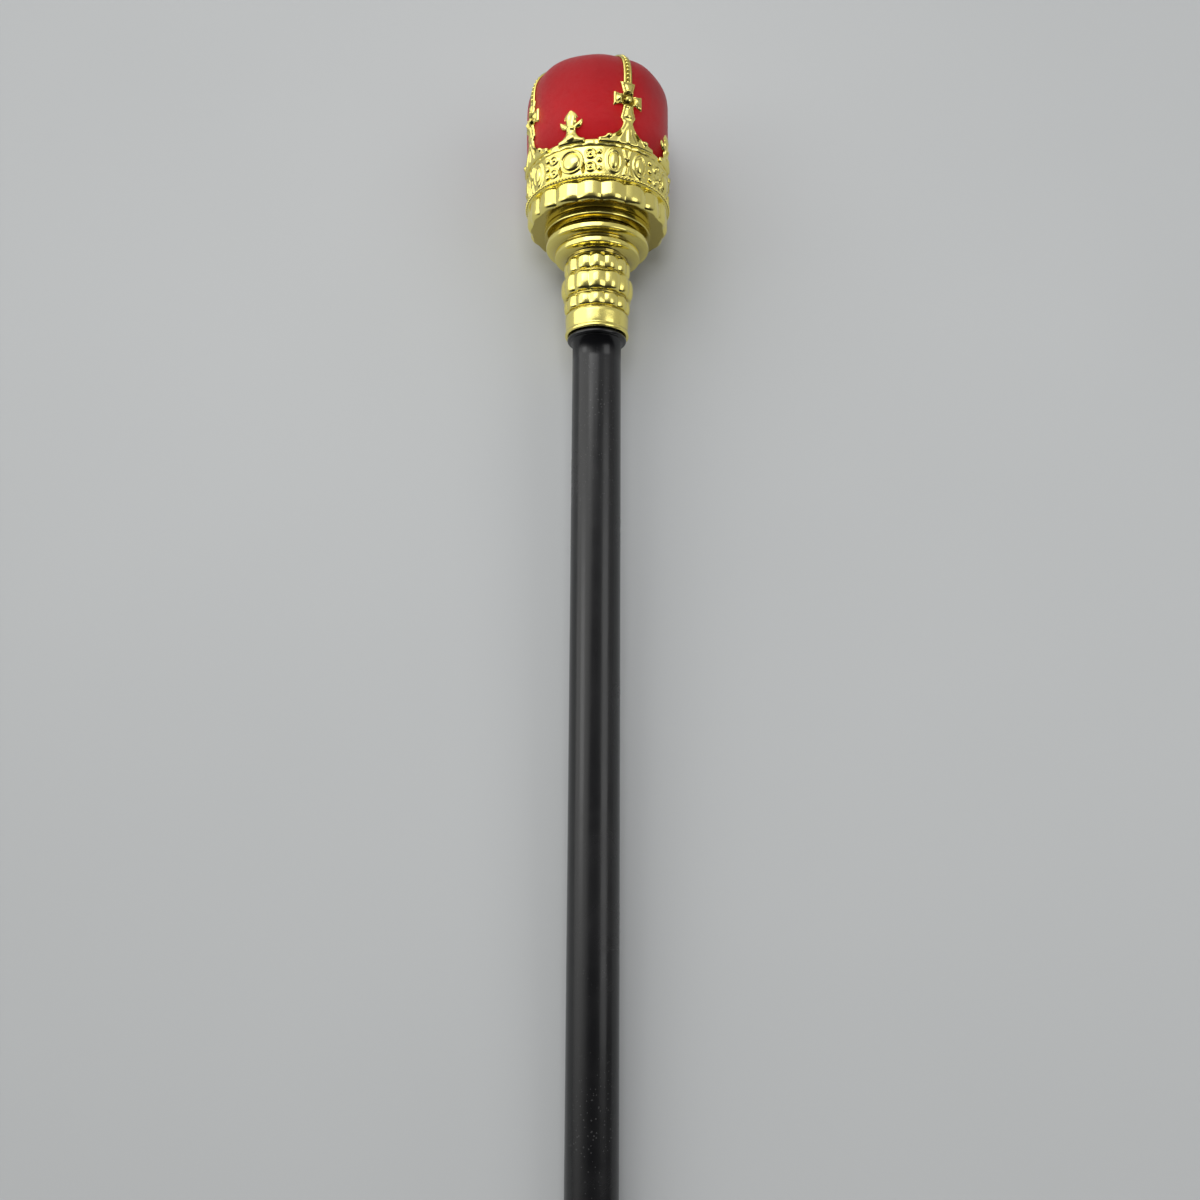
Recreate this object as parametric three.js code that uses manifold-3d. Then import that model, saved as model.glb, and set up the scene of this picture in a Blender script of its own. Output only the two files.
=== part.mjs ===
// A costume sceptre lying on the plane z = 0: a black plastic shaft, a ringed gold neck,
// a gold crown whose four crosses carry arches over the top, and a red cap inside it.
// Millimetres. Every piece is made about the sceptre's own axis, which is +Y, with height 0
// at the shaft's lower end. Azimuth 0 faces +Z and 90 degrees faces +X. The sceptre is then
// tipped a little, because it rests on the crown's rim and on the end of the shaft.
import * as THREE from "three";
import { TessellateModifier } from "three/addons/modifiers/TessellateModifier.js";
import { mergeVertices } from "three/addons/utils/BufferGeometryUtils.js";
import Module from "manifold-3d";

const wasm = await Module();
wasm.setup();

const DEGREE = Math.PI / 180;
const FIT_GAP = 0.3; // left between two pieces that seat on each other

// Shaft: a tube closed at its lower end, with a stop collar and a spigot for the neck.
const SHAFT_LENGTH = 390; // lower end to the neck's rim
const SHAFT_RADIUS = 11;
const SHAFT_WALL = 1.6;
const SHAFT_END_ROUND = 2.5;
const COLLAR_STEP = 2.4;
const COLLAR_HEIGHT = 2.2;
const SPIGOT_LENGTH = 18;
const SHAFT_SIDES = 24;

// Neck: mouldings from the rim upwards. out is how far each stands out from the sleeve,
// and groove is the width of the groove below it.
const SLEEVE = { wall: 3.1, height: 9.6, chamfer: 0.6 };
const LOWER_REEDS = { out: 0.7, height: 6, groove: 1 };
const BULB = { out: 2.1, height: 9.4, groove: 1 };
const UPPER_REEDS = { out: 0.8, height: 7.6, groove: 1 };
const LOWER_DISC = { out: 5.1, height: 2.9, groove: 2.2 };
const UPPER_DISC = { out: 9.2, height: 2.6, groove: 1.9 };
const TOP_COLLAR = { out: 5.6, height: 2, groove: 1 }; // the crown stands on it
const GROOVE_DEPTH = 1.3;
const NECK_LOBES = 13; // upright lobes round the reeds and the bulb
const NECK_LOBE_DEPTH = 0.5;
const NECK_SIDES = 2 * NECK_LOBES;
const NECK_SPIGOT_HEIGHT = 7; // rises through the crown's floor
const NECK_SPIGOT_WALL = 2;

// Crown: a cup from its foot upwards. out is how far each moulding stands out from the cup.
const CUP_RADIUS = 32.3;
const CUP_WALL = 1.8;
const CUP_FLOOR = 2.2;
const FOOT_RING = { out: -7.9, height: 3 }; // as wide as the neck's upper disc
const FOOT_TUCK = { depth: 2.2, height: 3.2 }; // how the lobes curve in under the cup
const FOOT_LOBES = { out: 0.1, height: 9.6, depth: 0.9, count: 18, crest: -6.6 * DEGREE };
const FILLET = { out: 0.6, height: 1.6 };
const BAND = { height: 13.4, flare: 0.3 };
const RIM_BEAD = { out: 0.6, height: 4 };
const CUP_LEDGE = 2; // carries the cap's skirt
const CUP_SIDES = 2 * FOOT_LOBES.count;
const EDGE_ROUND = 1; // rounding of every moulding's edge

// Points of the crown: crosses on gabled feet, with a lily between each two.
const POINT_COUNT = 4;
const CROSS_AZIMUTH = 24 * DEGREE;
const POINT_THICKNESS = 1.4;
const POINT_ROOT = 2.5; // runs down into the rim bead
const ROOT_BITE = 1.2; // runs inwards into the rim bead
const CROSS = { centre: 19.7, reach: 6.8, rise: 8.8, armEnd: 3.6, armRoot: 2.3 };
const GABLE_HALF = 13.5;
const LILY = { height: 14.6, half: 5.4, footHalf: 6.4 };
const ARCH_HALF = 2.1;
const ARCH_THICKNESS = 1;
const ARCH_STEPS = 14;
const CROWN_BOSS = { radius: 6, height: 5, rim: 2 };
const BOSS_SIDES = 16;
const CURVE_STEPS = 2; // straight steps in each curve of a point's outline
const LONGEST_EDGE = 8; // of a point's triangles, so that they bend round the cap
const SPLIT_ROUNDS = 12; // enough to split every longer edge

// Raised jewels and pearls on the cup's band.
const LILY_JEWEL = { halfWidth: 5.6, halfHeight: 5.6, rise: 1.4 };
const CROSS_JEWEL = { halfWidth: 3.6, halfHeight: 6, rise: 1.3, apart: 11 * DEGREE };
const CENTRE_JEWEL = { radius: 2.3, rise: 1.2 };
const PEARL = { radius: 1.6, rise: 1, count: 3, pitch: 4 };

// Cap: a padded dome that swells out above the rim.
const CAP_WALL = 1.8;
const CAP_INSET = 0.6; // its side stands in from the rim bead
const CAP_SKIRT = 12; // its depth in the cup
const CAP_SWELL = 6; // height over which it swells out
const CAP_SHOULDER = 29.4; // rim to where the dome starts to close
const CAP_DOME = 21; // shoulder to the top
const CAP_SQUARENESS = 2.8; // exponent of the dome's superellipse
const CAP_SIDES = 32;

// Flat spots that keep the sceptre from rolling.
const CROWN_FLAT_DEPTH = 0.6;
const SHAFT_FLAT_DEPTH = 0.4;

// Radii and heights that follow from the sizes above.
const shaftBore = SHAFT_RADIUS - SHAFT_WALL;
const neckBore = SHAFT_RADIUS + FIT_GAP;
const sleeveRadius = neckBore + SLEEVE.wall;
const neckMouldings = [LOWER_REEDS, BULB, UPPER_REEDS, LOWER_DISC, UPPER_DISC, TOP_COLLAR];
const neckTop = mouldingTop(TOP_COLLAR);
const neckSpigotRadius = sleeveRadius + TOP_COLLAR.out - GROOVE_DEPTH - EDGE_ROUND;
const cupBottom = neckTop + FIT_GAP;
const lobesBottom = cupBottom + FOOT_RING.height;
const lobesTop = lobesBottom + FOOT_LOBES.height;
const bandBottom = lobesTop + FILLET.height;
const rimBottom = bandBottom + BAND.height;
const rimTop = rimBottom + RIM_BEAD.height;
const rimRadius = CUP_RADIUS + RIM_BEAD.out;
const bandRadius = CUP_RADIUS + BAND.flare / 2;
const bandMiddle = bandBottom + BAND.height / 2;
const cupBore = CUP_RADIUS - CUP_WALL;
const capSeat = rimTop - CAP_SKIRT;
const capRadius = rimRadius - CAP_INSET;
const capSkirtRadius = cupBore - FIT_GAP;
const capTop = rimTop + CAP_SHOULDER + CAP_DOME;
const skinRadius = capRadius + FIT_GAP; // the points and arches lie on this skin
const pointSpacing = (2 * Math.PI) / POINT_COUNT;

// The height of the top of one of the neck's mouldings.
function mouldingTop(moulding) {
  const stack = neckMouldings.slice(0, neckMouldings.indexOf(moulding) + 1);
  return stack.reduce(
    (height, { groove, height: own }) => height + groove + own,
    SHAFT_LENGTH + SLEEVE.height,
  );
}

// A closed body turned about +Y from [radius, height] pairs.
function turned(profile, sides, start = 0) {
  const points = profile.map(([radius, height]) => new THREE.Vector2(radius, height));
  return new THREE.LatheGeometry(points, sides, start);
}

// Moves each vertex outwards by push(azimuth, height, radius).
function carve(geometry, push) {
  const position = geometry.attributes.position;
  for (let i = 0; i < position.count; i++) {
    const x = position.getX(i);
    const z = position.getZ(i);
    const radius = Math.hypot(x, z);
    const scale = 1 + push(Math.atan2(x, z), position.getY(i), radius) / radius;
    position.setXYZ(i, x * scale, position.getY(i), z * scale);
  }
  return geometry;
}

// Depth of a valley between upright lobes: 0 on a lobe's crest and -depth between two.
// One crest is at azimuth 0.
function lobes(azimuth, count, depth) {
  return -depth * (1 - Math.abs(Math.cos((count * azimuth) / 2)));
}

// A closed mesh as a solid that can be joined and cut.
function solid(geometry) {
  const bare = geometry.clone();
  bare.deleteAttribute("normal");
  bare.deleteAttribute("uv");
  const merged = mergeVertices(bare, 1e-3);
  return new wasm.Manifold(
    new wasm.Mesh({
      numProp: 3,
      vertProperties: merged.attributes.position.array,
      triVerts: new Uint32Array(merged.index.array),
    }),
  );
}

// A joined or cut solid as a geometry.
function geometryOf(made) {
  const mesh = made.getMesh();
  return new THREE.BufferGeometry()
    .setAttribute("position", new THREE.BufferAttribute(mesh.vertProperties, 3))
    .setIndex(new THREE.BufferAttribute(mesh.triVerts, 1));
}

// The rounded edge of a moulding that reaches radius between two heights.
function edge(radius, low, high) {
  const round = Math.min(EDGE_ROUND, (high - low) / 3);
  return [
    [radius - round, low],
    [radius, low + round],
    [radius, high - round],
    [radius - round, high],
  ];
}

function shaftGeometry() {
  const collarTop = SHAFT_LENGTH - FIT_GAP;
  const collarBottom = collarTop - COLLAR_HEIGHT;
  const spigotTop = SHAFT_LENGTH + SPIGOT_LENGTH;
  const outside = [
    [SHAFT_RADIUS - SHAFT_END_ROUND, 0],
    [SHAFT_RADIUS - SHAFT_END_ROUND * 0.3, SHAFT_END_ROUND * 0.3],
    [SHAFT_RADIUS, SHAFT_END_ROUND],
    [SHAFT_RADIUS, collarBottom],
    ...edge(SHAFT_RADIUS + COLLAR_STEP, collarBottom, collarTop),
    [SHAFT_RADIUS, collarTop],
    [SHAFT_RADIUS, spigotTop],
  ];
  const inside = [
    [shaftBore, spigotTop],
    [shaftBore, SHAFT_END_ROUND + SHAFT_WALL],
    [0, SHAFT_WALL],
  ];
  return turned([[0, 0], ...outside, ...inside], SHAFT_SIDES);
}

// The neck's outside, from the rim to the face that the crown stands on.
function neckOutline() {
  const points = [
    [sleeveRadius - SLEEVE.chamfer, SHAFT_LENGTH],
    [sleeveRadius, SHAFT_LENGTH + SLEEVE.chamfer],
  ];
  let top = SHAFT_LENGTH + SLEEVE.height;
  let radius = sleeveRadius;
  points.push([radius, top]);
  for (const moulding of neckMouldings) {
    const next = sleeveRadius + moulding.out;
    const root = Math.min(radius, next) - GROOVE_DEPTH;
    const low = top + moulding.groove;
    points.push([root, top], [root, low], ...edge(next, low, low + moulding.height));
    top = low + moulding.height;
    radius = next;
  }
  return points;
}

function neckGeometry() {
  const spigotTop = neckTop + NECK_SPIGOT_HEIGHT;
  const hollow = neckSpigotRadius - NECK_SPIGOT_WALL;
  const reedsBottom = SHAFT_LENGTH + SLEEVE.height + LOWER_REEDS.groove;
  const reedsTop = mouldingTop(UPPER_REEDS);
  const throat = mouldingTop(LOWER_DISC);
  const profile = [
    [neckBore, SHAFT_LENGTH],
    ...neckOutline(),
    [neckSpigotRadius, neckTop],
    [neckSpigotRadius, spigotTop],
    [hollow, spigotTop],
    [hollow, neckTop],
    [neckBore, throat],
    [neckBore, SHAFT_LENGTH],
  ];
  return carve(turned(profile, NECK_SIDES), (azimuth, height, radius) => {
    const onReeds = height > reedsBottom && height < reedsTop && radius > sleeveRadius;
    return onReeds ? lobes(azimuth, NECK_LOBES, NECK_LOBE_DEPTH) : 0;
  });
}

function cupGeometry() {
  const floorHole = neckSpigotRadius + FIT_GAP;
  const floorTop = lobesBottom + CUP_FLOOR;
  const lobeRadius = CUP_RADIUS + FOOT_LOBES.out;
  const outside = [
    ...edge(CUP_RADIUS + FOOT_RING.out, cupBottom, lobesBottom),
    [lobeRadius - FOOT_TUCK.depth, lobesBottom],
    [lobeRadius - FOOT_TUCK.depth * 0.3, lobesBottom + FOOT_TUCK.height * 0.4],
    [lobeRadius, lobesBottom + FOOT_TUCK.height],
    [lobeRadius, lobesTop - EDGE_ROUND],
    [lobeRadius - EDGE_ROUND, lobesTop],
    [CUP_RADIUS + FILLET.out, lobesTop],
    [CUP_RADIUS + FILLET.out, bandBottom],
    [CUP_RADIUS, bandBottom],
    [CUP_RADIUS + BAND.flare, rimBottom],
    ...edge(rimRadius, rimBottom, rimTop),
  ];
  const profile = [
    [floorHole, cupBottom],
    ...outside,
    [cupBore, rimTop],
    [cupBore, capSeat],
    [cupBore - CUP_LEDGE, capSeat],
    [cupBore - CUP_LEDGE, floorTop],
    [floorHole, floorTop],
    [floorHole, cupBottom],
  ];
  const { count, depth, crest } = FOOT_LOBES;
  return carve(turned(profile, CUP_SIDES, crest), (azimuth, height, radius) => {
    const onLobes = height > lobesBottom && height < lobesTop && radius > cupBore;
    return onLobes ? lobes(azimuth - crest, count, depth) : 0;
  });
}

// The quarter of a superellipse from the shoulder to the top, raised by offset.
function dome(radius, offset, steps) {
  const points = [];
  for (let i = 0; i <= steps; i++) {
    const turn = ((i / steps) * Math.PI) / 2;
    const across = i === steps ? 0 : Math.cos(turn) ** (2 / CAP_SQUARENESS);
    const up = Math.sin(turn) ** (2 / CAP_SQUARENESS);
    points.push([radius * across, rimTop + CAP_SHOULDER + (CAP_DOME + offset) * up]);
  }
  return points;
}

function capGeometry() {
  const swell = capRadius - capSkirtRadius;
  const swellBottom = rimTop + FIT_GAP;
  const profile = [
    [capSkirtRadius, capSeat + FIT_GAP],
    [capSkirtRadius, swellBottom],
    [capSkirtRadius + swell * 0.7, swellBottom + CAP_SWELL * 0.45],
    [capRadius, swellBottom + CAP_SWELL],
    ...dome(capRadius, 0, 8),
    ...dome(capSkirtRadius - CAP_WALL, -CAP_WALL, 5).reverse(),
    [capSkirtRadius - CAP_WALL, capSeat + FIT_GAP],
    [capSkirtRadius, capSeat + FIT_GAP],
  ];
  return turned(profile, CAP_SIDES);
}

// The line up the cap's side and over its dome that the points and arches follow.
const skin = new THREE.SplineCurve(
  [
    [skinRadius, rimTop - POINT_ROOT],
    [skinRadius, rimTop + CAP_SHOULDER / 3],
    [skinRadius, rimTop + (CAP_SHOULDER * 2) / 3],
    ...dome(skinRadius, FIT_GAP, 20),
  ].map(([radius, height]) => new THREE.Vector2(radius, height)),
);
const skinLength = skin.getLength();

// Bends a flat piece, drawn with x sideways, y upwards from the rim and z outwards, over
// the cap at an azimuth.
function overCap(geometry, azimuth) {
  const position = geometry.attributes.position;
  for (let i = 0; i < position.count; i++) {
    const along = THREE.MathUtils.clamp((position.getY(i) + POINT_ROOT) / skinLength, 0, 1);
    const place = skin.getPointAt(along);
    const tangent = skin.getTangentAt(along);
    const inRoot = position.getY(i) < -POINT_ROOT / 2 && position.getZ(i) < POINT_THICKNESS / 2;
    const out = inRoot ? -ROOT_BITE : position.getZ(i);
    const turn = position.getX(i) / skinRadius;
    const reach = skinRadius + out * tangent.y;
    const outwards = place.x - skinRadius + reach * Math.cos(turn);
    position.setXYZ(i, reach * Math.sin(turn), place.y - out * tangent.x, outwards);
  }
  return geometry.rotateY(azimuth);
}

// A flat ornament from its right side's path, mirrored and bent over the cap.
function point(rightSide, azimuth) {
  const right = rightSide.getPoints(CURVE_STEPS);
  const left = right.map(({ x, y }) => new THREE.Vector2(-x, y)).reverse();
  const shape = new THREE.Shape([...right, ...left.slice(1)]);
  const flat = new THREE.ExtrudeGeometry(shape, { depth: POINT_THICKNESS, bevelEnabled: false });
  const fine = new TessellateModifier(LONGEST_EDGE, SPLIT_ROUNDS).modify(flat);
  return solid(overCap(fine, azimuth));
}

// A cross with flared arms on a gabled foot.
function crossSide() {
  const { centre, reach, rise, armEnd, armRoot } = CROSS;
  const foot = centre - rise;
  const top = centre + rise;
  const side = new THREE.Path();
  side.moveTo(GABLE_HALF, -POINT_ROOT);
  side.lineTo(GABLE_HALF, 0);
  side.quadraticCurveTo(armEnd, foot * 0.15, armRoot, foot * 0.8);
  side.lineTo(armEnd, foot);
  side.quadraticCurveTo(armRoot, centre - armEnd, armRoot, centre - armRoot);
  side.quadraticCurveTo(armEnd, centre - armRoot, reach, centre - armEnd);
  side.lineTo(reach, centre + armEnd);
  side.quadraticCurveTo(armEnd, centre + armRoot, armRoot, centre + armRoot);
  side.quadraticCurveTo(armRoot, centre + armEnd, armEnd, top);
  side.lineTo(0, top);
  return side;
}

// A lily: a waisted stem, two side leaves and a pointed middle leaf.
function lilySide() {
  const { height, half, footHalf } = LILY;
  const waist = half * 0.4;
  const side = new THREE.Path();
  side.moveTo(footHalf, -POINT_ROOT);
  side.lineTo(footHalf, 0);
  side.quadraticCurveTo(waist, height * 0.05, waist, height * 0.34);
  side.quadraticCurveTo(half * 1.1, height * 0.36, half, height * 0.66);
  side.quadraticCurveTo(half * 0.7, height * 0.6, half * 0.52, height * 0.54);
  side.quadraticCurveTo(half * 0.85, height * 0.8, 0, height);
  return side;
}

// A strip from a cross's upper arm to the middle of the cap.
function arch(azimuth) {
  const start = CROSS.centre + CROSS.rise - CROSS.armEnd;
  const length = skinLength - POINT_ROOT - start;
  const strip = new THREE.BoxGeometry(2 * ARCH_HALF, length, ARCH_THICKNESS, 1, ARCH_STEPS, 1);
  strip.translate(0, start + length / 2, ARCH_THICKNESS / 2);
  return solid(overCap(strip, azimuth));
}

// Half an egg standing out of the cup's band or of a point.
function jewel(halfWidth, halfHeight, rise, radius, azimuth, height, sides = 8) {
  const egg = new THREE.SphereGeometry(1, sides, 4);
  egg.scale(halfWidth, halfHeight, rise);
  egg.translate(0, height, radius);
  return solid(egg.rotateY(azimuth));
}

function bandJewels(cross, lily) {
  const made = [];
  const { halfWidth, halfHeight, rise, apart } = CROSS_JEWEL;
  for (const side of [-1, 1]) {
    made.push(jewel(halfWidth, halfHeight, rise, bandRadius, cross + side * apart, bandMiddle));
    for (let i = 0; i < PEARL.count; i++) {
      const height = bandMiddle + (i - (PEARL.count - 1) / 2) * PEARL.pitch;
      const azimuth = cross + (side * pointSpacing) / 4;
      made.push(jewel(PEARL.radius, PEARL.radius, PEARL.rise, bandRadius, azimuth, height, 6));
    }
  }
  const single = LILY_JEWEL;
  made.push(
    jewel(single.halfWidth, single.halfHeight, single.rise, bandRadius, lily, bandMiddle),
  );
  return made;
}

function bossSolid() {
  const base = capTop + FIT_GAP;
  const { radius, height, rim } = CROWN_BOSS;
  return solid(
    turned(
      [
        [0, base],
        [radius, base],
        [radius, base + rim],
        [radius * 0.7, base + height * 0.8],
        [0, base + height],
      ],
      BOSS_SIDES,
    ),
  );
}

function crownGeometry() {
  const parts = [solid(cupGeometry()), bossSolid()];
  for (let i = 0; i < POINT_COUNT; i++) {
    const cross = CROSS_AZIMUTH + i * pointSpacing;
    const lily = cross + pointSpacing / 2;
    const face = skinRadius + POINT_THICKNESS;
    const { radius, rise } = CENTRE_JEWEL;
    parts.push(point(crossSide(), cross), arch(cross), point(lilySide(), lily));
    parts.push(jewel(radius, radius, rise, face, cross, rimTop + CROSS.centre));
    parts.push(...bandJewels(cross, lily));
  }
  return geometryOf(parts.reduce((joined, next) => joined.add(next)));
}

// The tip that brings the rim bead and the shaft's end down to the floor together, each
// sunk by the depth of its flat spot.
const rimMiddle = (rimBottom + rimTop) / 2;
const spread = rimMiddle - SHAFT_END_ROUND;
const drop = rimRadius - SHAFT_RADIUS;
const tip =
  Math.atan2(drop, spread) +
  Math.asin((SHAFT_FLAT_DEPTH - CROWN_FLAT_DEPTH) / Math.hypot(drop, spread));
const lift =
  SHAFT_RADIUS * Math.cos(tip) - SHAFT_END_ROUND * Math.sin(tip) - SHAFT_FLAT_DEPTH;

const sceptre = new THREE.Group();
sceptre.rotation.x = tip;
sceptre.position.z = lift;
sceptre.updateMatrixWorld();

// The floor, seen from the sceptre's own axis.
const FLOOR_BLOCK = 4 * SHAFT_LENGTH;
const floor = solid(
  new THREE.BoxGeometry(FLOOR_BLOCK, FLOOR_BLOCK, FLOOR_BLOCK)
    .translate(0, 0, -FLOOR_BLOCK / 2)
    .applyMatrix4(sceptre.matrixWorld.clone().invert()),
);

function addPiece(name, geometry, color, roughness, metalness) {
  const flattened = geometryOf(solid(geometry).subtract(floor));
  const material = new THREE.MeshStandardMaterial({ color, roughness, metalness });
  const mesh = new THREE.Mesh(flattened, material);
  mesh.name = name;
  sceptre.add(mesh);
}

addPiece("shaft", shaftGeometry(), 0x161618, 0.35, 0);
addPiece("neck", neckGeometry(), 0xd8b83c, 0.2, 1);
addPiece("crown", crownGeometry(), 0xd8b83c, 0.2, 1);
addPiece("cap", capGeometry(), 0xb81c24, 0.95, 0);

// The origin is on the floor, in the middle of the whole sceptre's box.
const group = new THREE.Group();
group.add(sceptre);
group.updateMatrixWorld(true);
const middle = new THREE.Box3().setFromObject(group, true).getCenter(new THREE.Vector3());
group.position.set(-middle.x, -middle.y, 0);

export default group;
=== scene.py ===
"""A costume king's sceptre lying on a pale floor: black plastic shaft, mirror-gold plastic
neck and crown, and a red flocked cap under the crown's arches."""
import math

import bpy
import numpy as np
from mathutils import Matrix, Vector


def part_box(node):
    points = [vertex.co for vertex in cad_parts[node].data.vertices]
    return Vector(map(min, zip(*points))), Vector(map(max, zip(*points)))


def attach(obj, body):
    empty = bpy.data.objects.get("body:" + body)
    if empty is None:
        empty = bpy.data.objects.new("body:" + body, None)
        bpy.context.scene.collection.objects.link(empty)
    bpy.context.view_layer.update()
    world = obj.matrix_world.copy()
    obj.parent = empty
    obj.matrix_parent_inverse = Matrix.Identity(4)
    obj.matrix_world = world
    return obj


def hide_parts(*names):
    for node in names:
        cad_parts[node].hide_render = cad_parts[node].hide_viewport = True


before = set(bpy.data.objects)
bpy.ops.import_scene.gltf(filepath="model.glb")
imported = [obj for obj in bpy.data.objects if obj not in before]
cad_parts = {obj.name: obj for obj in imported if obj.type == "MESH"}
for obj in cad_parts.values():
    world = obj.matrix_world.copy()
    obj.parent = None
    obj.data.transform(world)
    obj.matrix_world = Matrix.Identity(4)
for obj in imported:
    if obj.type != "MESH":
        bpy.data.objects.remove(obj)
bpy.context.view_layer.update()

# Sizes in millimetres, about the sceptre's own axis. Height is 0 at the shaft's lower end,
# azimuth 0 faces up and 90 degrees faces +X.
MM = 0.001
FIT_GAP = 0.3

SHAFT_LENGTH = 390
SHAFT_RADIUS = 11
SHAFT_WALL = 1.6
SHAFT_END_ROUND = 2.5
COLLAR_STEP = 2.4
COLLAR_HEIGHT = 2.2
SPIGOT_LENGTH = 18

SLEEVE = {"wall": 3.1, "height": 9.6, "chamfer": 0.6}
LOWER_REEDS = {"out": 0.7, "height": 6, "groove": 1}
BULB = {"out": 2.1, "height": 9.4, "groove": 1}
UPPER_REEDS = {"out": 0.8, "height": 7.6, "groove": 1}
LOWER_DISC = {"out": 5.1, "height": 2.9, "groove": 2.2}
UPPER_DISC = {"out": 9.2, "height": 2.6, "groove": 1.9}
TOP_COLLAR = {"out": 5.6, "height": 2, "groove": 1}
GROOVE_DEPTH = 1.3
NECK_LOBES = 13
NECK_LOBE_DEPTH = 0.9
NECK_SPIGOT_HEIGHT = 7
NECK_SPIGOT_WALL = 2

CUP_RADIUS = 32.3
CUP_WALL = 1.8
CUP_FLOOR = 2.2
FOOT_RING = {"out": -7.9, "height": 3}
FOOT_TUCK = {"depth": 2.2, "height": 3.2}
FOOT_LOBES = {"out": 0.1, "height": 9.6, "depth": 1.2, "count": 18, "crest": math.radians(-6.6)}
FILLET = {"out": 0.6, "height": 1.6}
BAND = {"height": 13.4, "flare": 0.3}
RIM_BEAD = {"out": 0.6, "height": 4}
CUP_LEDGE = 2

POINT_COUNT = 4
CROSS_AZIMUTH = math.radians(24)
POINT_THICKNESS = 1.4
POINT_ROOT = 2.5
CROSS = {"centre": 19.7, "reach": 6.8, "rise": 8.8, "end": 3.6, "root": 2.3}
GABLE_HALF = 13.5
LILY = {"height": 14.6, "half": 5.4, "foot": 6.4}
ARCH_HALF = 2.1
ARCH_THICKNESS = 1
CROWN_BOSS = {"radius": 6, "height": 5, "rim": 2}

LILY_JEWEL = {"width": 5.6, "height": 5.6, "rise": 1.4}
CROSS_JEWEL = {"width": 3.6, "height": 6, "rise": 1.3, "apart": math.radians(11)}
CENTRE_JEWEL = {"radius": 1.6, "rise": 0.8, "setting": 2.3}
PEARL = {"radius": 1.6, "count": 3, "pitch": 4}
FOOT_PEARL = {"radius": 0.72, "pitch": 1.62}
ARCH_PEARL = {"radius": 0.8, "pitch": 2.1}

CAP_WALL = 1.8
CAP_INSET = 0.6
CAP_SKIRT = 12
CAP_SWELL = 6
CAP_SHOULDER = 29.4
CAP_DOME = 21
CAP_SQUARENESS = 2.8
CAP_PUFF = 0.8  # padding between the arches
CAP_PINCH = 0.5  # drawn in under each arch
TOP_SHADE_SPAN = (0.222, 0.256)  # metres along the floor over which shade is painted onto the cap's top as a darker red

CROWN_FLAT_DEPTH = 0.6
SHAFT_FLAT_DEPTH = 0.4

# How many straight steps go round each piece
SHAFT_COLUMNS = 96
NECK_COLUMNS = 16 * NECK_LOBES
CUP_COLUMNS = 26 * FOOT_LOBES["count"]
CAP_COLUMNS = 288
BOSS_COLUMNS = 64
PEARL_RING_STEPS = 480
PLATE_STEP = 0.42
LILY_STEP = 0.4

# Radii and heights that follow from the sizes above
neck_bore = SHAFT_RADIUS + FIT_GAP
sleeve_radius = neck_bore + SLEEVE["wall"]
neck_mouldings = [LOWER_REEDS, BULB, UPPER_REEDS, LOWER_DISC, UPPER_DISC, TOP_COLLAR]
neck_top = SHAFT_LENGTH + SLEEVE["height"] + sum(m["groove"] + m["height"] for m in neck_mouldings)
neck_spigot_radius = sleeve_radius + TOP_COLLAR["out"] - GROOVE_DEPTH - 1
cup_bottom = neck_top + FIT_GAP
lobes_bottom = cup_bottom + FOOT_RING["height"]
lobes_top = lobes_bottom + FOOT_LOBES["height"]
band_bottom = lobes_top + FILLET["height"]
rim_bottom = band_bottom + BAND["height"]
rim_top = rim_bottom + RIM_BEAD["height"]
rim_radius = CUP_RADIUS + RIM_BEAD["out"]
band_radius = CUP_RADIUS + BAND["flare"] / 2
band_middle = band_bottom + BAND["height"] / 2
cup_bore = CUP_RADIUS - CUP_WALL
cap_seat = rim_top - CAP_SKIRT
cap_radius = rim_radius - CAP_INSET
cap_skirt_radius = cup_bore - FIT_GAP
cap_top = rim_top + CAP_SHOULDER + CAP_DOME
skin_radius = cap_radius + FIT_GAP
point_spacing = 2 * math.pi / POINT_COUNT
cross_azimuths = [CROSS_AZIMUTH + i * point_spacing for i in range(POINT_COUNT)]
lily_azimuths = [azimuth + point_spacing / 2 for azimuth in cross_azimuths]

# The tip that lets the sceptre rest on its rim bead and on its shaft's end
rim_middle = (rim_bottom + rim_top) / 2
spread = rim_middle - SHAFT_END_ROUND
drop = rim_radius - SHAFT_RADIUS
tip = math.atan2(drop, spread)
tip += math.asin((SHAFT_FLAT_DEPTH - CROWN_FLAT_DEPTH) / math.hypot(drop, spread))
lift = SHAFT_RADIUS * math.cos(tip) - SHAFT_END_ROUND * math.sin(tip) - SHAFT_FLAT_DEPTH
end_overhang = (SHAFT_RADIUS - SHAFT_END_ROUND) * math.sin(tip) * MM
foot_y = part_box("shaft")[0][1] + end_overhang
SCEPTRE = Matrix.Translation((0, foot_y, lift * MM)) @ Matrix.Rotation(tip, 4, "X")


# Meshes


def add_mesh(name, points, faces):
    """A smooth object from points in the sceptre's own millimetres, laid on the floor."""
    mesh = bpy.data.meshes.new(name)
    mesh.from_pydata(np.asarray(points, dtype=float) * MM, [], faces)
    mesh.transform(SCEPTRE)
    press_to_floor(mesh)
    mesh.shade_smooth()
    mesh.update()
    made = bpy.data.objects.new(name, mesh)
    bpy.context.scene.collection.objects.link(made)
    return made


def press_to_floor(mesh):
    """Flattens what would reach below the floor, which makes the flat resting spots."""
    places = np.empty(len(mesh.vertices) * 3)
    mesh.vertices.foreach_get("co", places)
    places = places.reshape(-1, 3)
    places[:, 2] = np.maximum(places[:, 2], 0)
    mesh.vertices.foreach_set("co", places.ravel())


def set_attribute(made, name, values):
    """A number on each vertex, for a material or a Geometry Nodes tree to read."""
    attribute = made.data.attributes.new(name, "FLOAT", "POINT")
    attribute.data.foreach_set("value", np.asarray(values, dtype=np.float32))


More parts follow.
